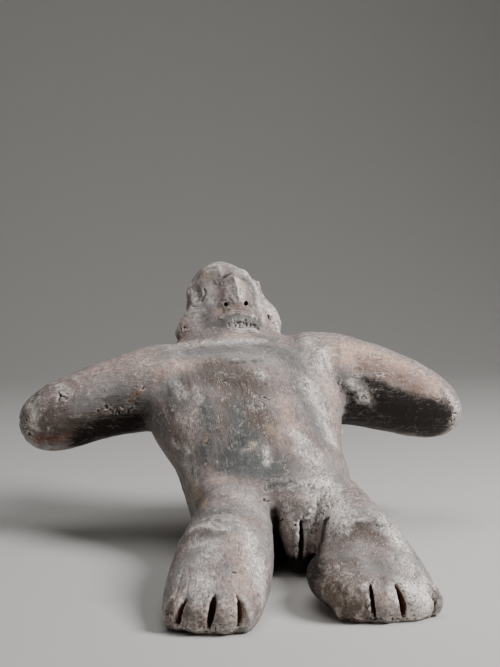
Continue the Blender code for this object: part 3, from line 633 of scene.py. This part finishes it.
def around(points, run, reach):
    """Which points lie within reach of a run of points, and how far each is from the line through them."""
    inside = ((points > run.min(axis=0) - reach) & (points < run.max(axis=0) + reach)).all(axis=1)
    which = np.flatnonzero(inside)
    points = points[which]
    nearest = np.linalg.norm(points - run[0], axis=1)
    for start, end in zip(run, run[1:]):
        step = end - start
        size = step @ step
        if size > 0:
            share = np.clip((points - start) @ step / size, 0.0, 1.0)
            nearest = np.minimum(nearest, np.linalg.norm(points - start - share[:, None] * step, axis=1))
    return which, nearest


def ripple(points, width, seed=0.0):
    """Even noise, about -1 to 1, whose swellings have the given width."""
    return np.array([noise.noise(place) for place in (points / width + seed).tolist()])


def stroke_ripple(points, along, width, reach, seed):
    """Noise drawn out along a direction, like the strokes of a tool."""
    along = along / np.linalg.norm(along)
    share = points @ along
    return ripple(points / width - np.outer(share, along) * (1 / width - 1 / reach), 1.0, seed)


def stroke_shares(points):
    """How much each point is stroked across, up the trunk and along the legs."""
    up = ((points - TRUNK_SEAT) @ UP_THE_TRUNK) / TRUNK_LENGTH
    side = np.abs(points[:, 0])
    shoulders = smooth_step(up, *SHOULDERS) * (1 - smooth_step(up, *NECK))
    arms = smooth_step(side, *ARMS) * smooth_step(up, *ARMS_LOWEST)
    across = np.maximum(shoulders, arms)
    legs = (1 - across) * (1 - smooth_step(up, *HIPS))
    return np.stack([across, 1 - across - legs, legs], axis=1)


class Skin:
    """The clay surface while it is worked."""

    def __init__(self, piece):
        self.piece = piece
        self.read()

    def read(self):
        mesh = self.piece.data
        count = len(mesh.vertices)
        places = np.empty(count * 3)
        mesh.vertices.foreach_get("co", places)
        normals = np.empty(count * 3)
        mesh.vertex_normals.foreach_get("vector", normals)
        self.points = places.reshape(-1, 3)
        self.out = normals.reshape(-1, 3)

    def push(self, heights):
        """Moves each point outwards by its height, and keeps the underside on the floor plane."""
        off_floor = smooth_step(self.points[:, 2], *OFF_THE_FLOOR)
        moved = self.points + self.out * (heights * off_floor)[:, None]
        moved[:, 2] = np.maximum(moved[:, 2], 0.0)
        self.piece.data.vertices.foreach_set("co", moved.ravel())
        self.piece.data.update()
        self.read()

    def store(self, name, values, kind="FLOAT", field="value"):
        layer = self.piece.data.attributes.new(name, kind, "POINT")
        layer.data.foreach_set(field, np.ascontiguousarray(values, dtype=np.float32).ravel())

    def soften(self, rounds):
        """Where each point would lie if its neighbours had smoothed it that many times."""
        edges = self.piece.data.edges
        pairs = np.empty(len(edges) * 2, dtype=np.int64)
        edges.foreach_get("vertices", pairs)
        first, second = pairs.reshape(-1, 2).T
        count = len(self.points)
        neighbours = np.bincount(pairs, minlength=count)[:, None]
        soft = self.points
        for _ in range(rounds):
            sums = [
                np.bincount(first, axis[second], count) + np.bincount(second, axis[first], count)
                for axis in soft.T
            ]
            soft = 0.5 * soft + 0.5 * np.stack(sums, axis=1) / neighbours
        return soft

    def proud_by(self, rounds):
        """Height of each point over the skin smoothed that many times."""
        return ((self.points - self.soften(rounds)) * self.out).sum(axis=1)

    def depth_below(self, tree):
        """How far each point lies below a surface."""
        depths = np.empty(len(self.points))
        for i, place in enumerate(self.points.tolist()):
            hit, out, _, _ = tree.find_nearest(place)
            depths[i] = (hit - Vector(place)).dot(out)
        return depths


def merged_solid(name):
    """Copy of the figure's solid with its points merged and its sharp rims marked to stay sharp."""
    bm = bmesh.new()
    bm.from_mesh(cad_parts[NODE].data)
    bmesh.ops.remove_doubles(bm, verts=bm.verts, dist=SAME_POINT)
    crease = bm.edges.layers.float.new("crease_edge")
    for edge in bm.edges:
        if edge.is_manifold and edge.calc_face_angle() > SHARP_RIM:
            edge[crease] = 1.0
    mesh = bpy.data.meshes.new(name)
    bm.to_mesh(mesh)
    bm.free()
    return add_object(name, mesh)


def refine(piece, spacing, softening):
    """Rounds a piece's facets off, gives it evenly spaced points and softens it a few times."""
    rounder = piece.modifiers.new("Round", "SUBSURF")
    rounder.levels = rounder.render_levels = 2
    even = piece.modifiers.new("Even out", "REMESH")
    even.mode = "VOXEL"
    even.voxel_size = spacing
    soften = piece.modifiers.new("Soften", "SMOOTH")
    soften.factor = 0.5
    soften.iterations = softening
    apply_modifiers(piece)


def bridged_surface(sizes):
    """Surface that closes every cut, to tell hollows and rims from open clay."""
    bridge = merged_solid("bridge")
    refine(bridge, sizes.bridge, BRIDGE_SOFTENING)
    bm = bmesh.new()
    bm.from_mesh(bridge.data)
    tree = BVHTree.FromBMesh(bm)
    bm.free()
    mesh = bridge.data
    bpy.data.objects.remove(bridge)
    bpy.data.meshes.remove(mesh)
    return tree


def hand_relief(skin, sizes):
    """Broad unevenness, dents, strokes and grain."""
    points = skin.points
    heights = sizes.sway * ripple(points, sizes.sway_width)
    heights += sizes.dents * ripple(points, sizes.dent_width, seed=3.7)
    heights += sizes.grain * ripple(points, sizes.grain_width, seed=9.1)
    shares = stroke_shares(points)
    for share, along, seed in zip(shares.T, DIRECTIONS, (1.3, 5.9, 8.2)):
        strokes = stroke_ripple(points, along, sizes.stroke_width, sizes.stroke_length, seed)
        heights += sizes.strokes * share * strokes
    return heights


def mark_relief(skin, solid, marks):
    """Pits, cracks, creases and ridges, each with a depth that varies a little along it."""
    heights = np.zeros(len(skin.points))
    waver = ripple(skin.points, WAVER_WIDTH, seed=4.4)
    for pixels, half_width, depth in marks:
        near, away = around(skin.points, solid.run(pixels), 2 * half_width * MM)
        shape = 1 - smooth_step(away / (half_width * MM) + MARK_WAVER * waver[near], *MARK_FADE)
        heights[near] -= depth * MM * shape
    return heights


def rough_relief(skin, solid, wander):
    """Clusters of small pits with crumbled rims."""
    heights = np.zeros(len(skin.points))
    coarse = ripple(skin.points, COARSE_PITS, seed=12.6)
    fine = ripple(skin.points, FINE_PITS, seed=31.7)
    pitted = 0.7 * coarse + 0.6 * fine
    for pixels, radius, depth in ROUGH:
        near, away = around(wander, solid.run(pixels), 1.5 * radius * MM)
        share = depth * MM * (1 - smooth_step(away / (radius * MM), *ROUGH_FADE))
        pits = smooth_step(pitted[near], 0.05, 0.45) - 0.25 * smooth_step(-pitted[near], 0.1, 0.5)
        heights[near] = np.minimum(heights[near], -share * pits) + np.maximum(-share * pits, 0)
    return heights


def rim_relief(skin, depths, sizes):
    """Makes the rims of the cuts wander and crumble."""
    near_rim = smooth_step(depths, *RIM_STARTS) * (1 - smooth_step(depths, *RIM_ENDS))
    return sizes.ragged * near_rim * ripple(skin.points, CRUMBS, seed=6.3)


def hidden_patches(skin, wander, view, count, radius, seed):
    """Patches of one tint over the sides that the picture doesn't show."""
    towards = np.array(view.place) - skin.points
    towards /= np.linalg.norm(towards, axis=1)[:, None]
    hidden = np.flatnonzero((skin.out * towards).sum(axis=1) < FACING_AWAY)
    picks = np.random.default_rng(seed)
    strength = np.zeros(len(skin.points))
    for centre in wander[picks.choice(hidden, count, replace=False)]:
        size = radius * picks.uniform(*PATCH_SIZES)
        away = np.linalg.norm((wander - centre) * picks.uniform(*PATCH_WIDTHS, 3), axis=1) / size
        patch = picks.uniform(*PATCH_STRENGTHS) * (1 - smooth_step(away, *HIDDEN_FADE))
        strength = np.maximum(strength, patch)
    return strength


def wandering(points):
    """Points shifted a little, so that what is measured from them gets an irregular outline."""
    wander = points
    for width, size, seeds in WANDERS:
        shift = np.stack([ripple(points, width, seed) for seed in seeds], axis=1)
        wander = wander + size * shift
    return wander


def tint_layers(skin, solid, view):
    """One layer of strengths for each tint."""
    layers = {}
    wander = wandering(skin.points)
    for seed, kind in enumerate(TINTS):
        count, radius = HIDDEN_PATCHES[kind]
        layers[kind] = hidden_patches(skin, wander, view, count, radius, HIDDEN_SEED + seed)
    for kind, pixels, radius, strength in HEAD_TINTS + ARM_TINTS + TRUNK_TINTS + LEG_TINTS:
        near, away = around(wander, solid.run(pixels), 2 * radius * MM)
        shape = strength * (1 - smooth_step(away / (radius * MM), *TINT_FADE))
        layers[kind][near] = np.maximum(layers[kind][near], shape)
    return layers


class Flow:
    """Output of a node in the clay's material. Arithmetic on it adds Math nodes."""

    def __init__(self, finish, socket):
        self.finish = finish
        self.socket = socket

    def math(self, operation, *values):
        return self.finish.node("ShaderNodeMath", {"operation": operation}, dict(enumerate(values)))

    def __add__(self, other):
        return self.math("ADD", self, other)

    def __radd__(self, other):
        return self.math("ADD", other, self)

    def __sub__(self, other):
        return self.math("SUBTRACT", self, other)

    def __rsub__(self, other):
        return self.math("SUBTRACT", other, self)

    def __mul__(self, other):
        return self.math("MULTIPLY", self, other)

    def __rmul__(self, other):
        return self.math("MULTIPLY", other, self)


class Finish:
    """Material whose nodes are added by one method."""

    def __init__(self, name):
        self.material = bpy.data.materials.new(name)
        self.material.use_nodes = True
        self.tree = self.material.node_tree
        self.tree.nodes.clear()

    def node(self, kind, settings=None, sockets=None, out=0):
        made = self.tree.nodes.new(kind)
        for name, value in (settings or {}).items():
            setattr(made, name, value)
        for name, value in (sockets or {}).items():
            if isinstance(value, Flow):
                self.tree.links.new(value.socket, made.inputs[name])
            else:
                made.inputs[name].default_value = value
        return Flow(self, made.outputs[out])

    def between(self, flow, low, high):
        """0 below low, 1 above high, with a smooth step between."""
        sockets = {"Value": flow, "From Min": low, "From Max": high}
        return self.node("ShaderNodeMapRange", {"interpolation_type": "SMOOTHSTEP"}, sockets)

    def over(self, base, coat, mask):
        """Lays a coat of colour over another where the mask is 1."""
        sockets = {0: mask, 6: base, 7: coat}
        return self.node("ShaderNodeMix", {"data_type": "RGBA", "clamp_factor": True}, sockets, out=2)

    def layer(self, name, out="Fac"):
        return self.node("ShaderNodeAttribute", {"attribute_name": name}, out=out)

    def clouds(self, place, width, detail=4.0, roughness=0.6, distortion=0.0):
        """Noise about 0, whose patches have the given width."""
        sockets = {"Vector": place, "Scale": 1 / width, "Detail": detail}
        sockets |= {"Roughness": roughness, "Distortion": distortion}
        return self.node("ShaderNodeTexNoise", None, sockets, out="Fac") - 0.5

    def strokes(self, place, along, width, reach):
        """Noise, about 0 to 1, that is drawn out along a direction."""
        turn = Vector(along).to_track_quat("Z", "Y").inverted().to_euler()
        turned = self.node("ShaderNodeMapping", None, {"Vector": place, "Rotation": turn}, out="Vector")
        squeeze = (1 / width, 1 / width, 1 / reach)
        drawn = self.node("ShaderNodeMapping", None, {"Vector": turned, "Scale": squeeze}, out="Vector")
        sockets = {"Vector": drawn, "Scale": 1.0, "Detail": 3.0, "Roughness": 0.6}
        return self.node("ShaderNodeTexNoise", None, sockets, out="Fac")

    def shade(self, sockets):
        """Ends the material in a principled shader with these sockets."""
        shader = self.node("ShaderNodeBsdfPrincipled", None, sockets, out="BSDF")
        output = self.tree.nodes.new("ShaderNodeOutputMaterial")
        self.tree.links.new(shader.socket, output.inputs["Surface"])
        return self.material


def tool_strokes(clay, place, looks):
    """Fine strokes, the strokes that cross them and broad streaks, each about 0, the way the tool went."""
    lay = clay.node("ShaderNodeSeparateXYZ", None, {0: clay.layer("lay", "Vector")})
    shares = [Flow(clay, lay.socket.node.outputs[i]) for i in range(3)]
    noise_sockets = {"Vector": place, "Scale": 1 / looks.bend_width, "Detail": 1.0}
    bend = clay.node("ShaderNodeTexNoise", None, noise_sockets, out="Color")
    bend_sockets = {0: bend, 1: (looks.bend,) * 3, 2: place}
    bent = clay.node("ShaderNodeVectorMath", {"operation": "MULTIPLY_ADD"}, bend_sockets, out="Vector")
    crossing = [along + 0.6 * np.roll(along, 1) for along in DIRECTIONS]

    def drawn(where, directions, width, reach):
        strokes = [clay.strokes(where, along, width, reach) for along in directions]
        return sum(share * stroke for share, stroke in zip(shares, strokes)) - 0.5

    return (
        drawn(bent, DIRECTIONS, looks.stroke_width, looks.stroke_length),
        drawn(bent, crossing, looks.cross_width, looks.cross_length),
        drawn(place, DIRECTIONS, looks.streak_width, looks.streak_length),
    )


def fired_clay(looks):
    """Worn, burnished clay: mottled grey with fire clouds, bloom, stains, strokes, flecks and pores, and
    painted shade and light.
    """
    clay = Finish("burnished_fired_clay")
    place = clay.node("ShaderNodeTexCoord", out="Object")
    shown = {kind: (*getattr(looks, kind), 1.0) for kind in (*TINTS, "grey", "mauve", "inside")}
    hollow, proud = clay.layer("hollow"), clay.layer("proud")

    broad = clay.clouds(place, looks.clouds, 3.0, 0.5)
    mottle = clay.clouds(place, looks.mottle, 6.0, 0.6, 0.6)
    blotch = clay.clouds(place, looks.blotches, 5.0, 0.65, 0.6)
    grit = clay.clouds(place, looks.grit, 4.0, 0.7)
    fine, cross, streak = tool_strokes(clay, place, looks)

    uneven = mottle * 1.8 + blotch * 1.6 + streak * 1.4 + fine * 2.4 + cross * 2.0
    crossed = clay.between(broad + mottle * 0.8, -0.12, 0.14)
    flecked = clay.between(mottle + broad * 0.8, 0.0, 0.22) * 0.9 + 0.1
    pore = clay.between(mottle * 0.6 - grit, 0.12, 0.26)

    # Coats in the order in which they lie over the grey clay: colour, and how much of it shows.
    coats = [("mauve", clay.between(mottle + broad * 1.2, -0.16, 0.16))]
    for kind, share in (("warm", 0.75), ("cool", 0.95), ("brown", 0.95), ("scorch", 0.9)):
        coats.append((kind, clay.layer(kind) * (uneven + 0.95) * share))
    coats += [
        # Broad streaks, stained and smoked.
        ("brown", clay.between(streak + mottle * 0.6, 0.0, 0.24) * 0.5),
        ("cool", clay.between(broad * 0.8 - streak, 0.0, 0.24) * 0.5),
        # Bloom, and the strokes that show light and dark.
        ("pale", clay.layer("pale") * (uneven * 1.3 + 0.7) * 0.85),
        ("pale", clay.between(mottle * 0.7 - fine, 0.05, 0.25) * 0.42),
        ("soot_and_shade", clay.between(fine + mottle * 0.7, 0.06, 0.28) * 0.5),
        ("ochre", clay.layer("ochre") * (uneven + 0.7) * 0.7),
        ("pale", clay.between(cross + blotch * 0.3, 0.07, 0.24) * crossed * 0.38),
        ("soot_and_shade", clay.between(blotch * 0.3 - cross, 0.08, 0.24) * crossed * 0.4),
        # Worn crests of the relief, and painted shade in its dips.
        ("pale", clay.between(proud + blotch * 0.4, 0.06, 0.3) * 0.5),
        ("soot_and_shade", clay.between(blotch * 0.2 - proud, 0.06, 0.3) * 0.7),
        # White grains, the core colour in the cuts and crevices, which is partly painted shade, soot and
        # painted shade over both, and open pores.
        ("pale", clay.between(grit + blotch * 0.9, 0.13, 0.27) * flecked * 0.5),
        ("inside", clay.between(hollow + blotch * 0.4, 0.35, 0.7)),
        ("soot_and_shade", clay.layer("soot_and_shade") * (uneven + 0.9) * 0.95),
        ("soot_and_shade", pore * 0.6),
    ]
    coat = shown["grey"]
    for kind, mask in coats:
        coat = clay.over(coat, shown[kind], mask)

    light = broad * 0.5 + mottle * 0.9 + blotch * 1.1 + grit + fine * 1.5 + cross * 0.8 + 1.0
    lit = clay.node("ShaderNodeVectorMath", {"operation": "SCALE"}, {0: coat, "Scale": light}, out="Vector")
    relief = fine * 0.7 + blotch * 0.8 + grit * 0.35 - pore * 0.35
    bump = clay.node("ShaderNodeBump", None, {"Distance": looks.bump, "Height": relief}, out="Normal")
    roughness = blotch * 0.25 + fine * 0.2 + hollow * 0.3 + looks.roughness
    return clay.shade({"Base Color": lit, "Roughness": roughness, "Normal": bump, "IOR": looks.ior})


class FIGURE_OT_skin(bpy.types.Operator):
    """Make the worked, fired clay skin over the figure's solid"""

    bl_idname = "figure.skin"
    bl_label = "Clay skin"

    def execute(self, context):
        sizes = context.scene.figure_skin
        view = View(context.scene.figure_stage)
        solid = Solid(view)
        bridged = bridged_surface(sizes)
        piece = merged_solid("figure_skin")
        coarser = 1
        refine(piece, sizes.sampling * coarser, SKIN_SOFTENING)
        skin = Skin(piece)
        depths = skin.depth_below(bridged)
        heights = hand_relief(skin, sizes) + rim_relief(skin, depths, sizes)
        marks = HEAD_RELIEF + ARM_RELIEF + TRUNK_RELIEF + MOUND_RELIEF + LEG_RELIEF
        heights += mark_relief(skin, solid, marks) + rough_relief(skin, solid, wandering(skin.points))
        skin.push(heights)

        thin = piece.modifiers.new("Thin", "DECIMATE")
        thin.ratio = sizes.triangles / sum(len(face.vertices) - 2 for face in piece.data.polygons)
        apply_modifiers(piece)
        skin.read()
        depths = skin.depth_below(bridged)
        skin.store("hollow", np.clip(depths / FULL_HOLLOW, 0, 1))
        skin.store("proud", skin.proud_by(PROUD_ROUNDS) / MM)
        skin.store("lay", stroke_shares(skin.points), "FLOAT_VECTOR", "vector")
        for kind, strengths in tint_layers(skin, solid, view).items():
            skin.store(kind, strengths)
        piece.data.materials.append(fired_clay(context.scene.figure_clay))
        piece.data.shade_smooth()
        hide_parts(NODE)
        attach(piece, BODY)
        return {"FINISHED"}


def soft_lamp(name, watts, width, place, target):
    lamp = bpy.data.lights.new(name, "AREA")
    lamp.energy = watts
    lamp.shape = "DISK"
    lamp.size = width
    held = add_object(name, lamp)
    held.location = place
    held.rotation_euler = (Vector(target) - Vector(place)).to_track_quat("-Z", "Y").to_euler()


def floor_sweep(stage):
    """Pale floor that curves up into a backdrop behind the figure."""
    half, start, radius = stage.sweep / 2, stage.bend_start, stage.bend_radius
    profile = [(-half, 0.0), (start, 0.0)]
    for turn in np.linspace(0.1, math.pi / 2, 12):
        profile.append((start + radius * math.sin(turn), radius * (1 - math.cos(turn))))
    profile.append((start + radius, half))
    bm = bmesh.new()
    row = [bm.verts.new((-half, y, z)) for y, z in profile]
    edges = [bm.edges.new(pair) for pair in zip(row, row[1:])]
    made = bmesh.ops.extrude_edge_only(bm, edges=edges)
    moved = [part for part in made["geom"] if isinstance(part, bmesh.types.BMVert)]
    bmesh.ops.translate(bm, verts=moved, vec=(stage.sweep, 0, 0))
    bmesh.ops.recalc_face_normals(bm, faces=bm.faces)
    mesh = bpy.data.meshes.new("floor_sweep")
    bm.to_mesh(mesh)
    bm.free()
    mesh.shade_smooth()
    sweep = add_object("floor_sweep", mesh)
    paper = Finish("pale_paper")
    place = paper.node("ShaderNodeTexCoord", out="Object")
    lightest = (*stage.floor, 1.0)
    darkest = (*[PAPER_DARKEST * part for part in stage.floor], 1.0)
    base = paper.over(lightest, darkest, paper.clouds(place, PAPER_TOOTH) + 0.5)
    mesh.materials.append(paper.shade({"Base Color": base, "Roughness": PAPER_ROUGHNESS}))


class FIGURE_OT_stage(bpy.types.Operator):
    """Make the pale sweep, the soft lamps and the camera"""

    bl_idname = "figure.stage"
    bl_label = "Stage"

    def execute(self, context):
        stage = context.scene.figure_stage
        floor_sweep(stage)
        soft_lamp("key", stage.key, stage.key_width, stage.key_place, stage.aim)
        soft_lamp("top", stage.top, stage.top_width, stage.top_place, stage.aim)
        world = bpy.data.worlds.new("room")
        world.use_nodes = True
        room = world.node_tree.nodes["Background"]
        room.inputs["Color"].default_value = (1.0, 1.0, 1.0, 1.0)
        room.inputs["Strength"].default_value = stage.room
        context.scene.world = world
        view = View(stage)
        lens = bpy.data.cameras.new("camera")
        lens.lens = stage.lens
        lens.sensor_width = FILM
        camera = add_object("camera", lens)
        camera.location = view.place
        camera.rotation_euler = view.rotation.to_euler()
        context.scene.camera = camera
        return {"FINISHED"}


class FIGURE_PT_panel(bpy.types.Panel):
    """Sizes, colours and steps of the pottery figure"""

    bl_label = "Pottery figure"
    bl_space_type = "VIEW_3D"
    bl_region_type = "UI"
    bl_category = "Pottery figure"

    def draw(self, context):
        for group in (context.scene.figure_skin, context.scene.figure_clay, context.scene.figure_stage):
            box = self.layout.box()
            for name in group.__annotations__:
                box.prop(group, name)
        self.layout.operator(FIGURE_OT_skin.bl_idname)
        self.layout.operator(FIGURE_OT_stage.bl_idname)


CLASSES = (SkinSizes, ClayFinish, StageSizes, FIGURE_OT_skin, FIGURE_OT_stage, FIGURE_PT_panel)


def register():
    for each in CLASSES:
        bpy.utils.register_class(each)
    bpy.types.Scene.figure_skin = PointerProperty(type=SkinSizes)
    bpy.types.Scene.figure_clay = PointerProperty(type=ClayFinish)
    bpy.types.Scene.figure_stage = PointerProperty(type=StageSizes)


def unregister():
    del bpy.types.Scene.figure_stage
    del bpy.types.Scene.figure_clay
    del bpy.types.Scene.figure_skin
    for each in reversed(CLASSES):
        bpy.utils.unregister_class(each)


def main():
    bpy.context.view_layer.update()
    register()
    bpy.ops.figure.skin()
    bpy.ops.figure.stage()


if __name__ == "__main__":
    main()
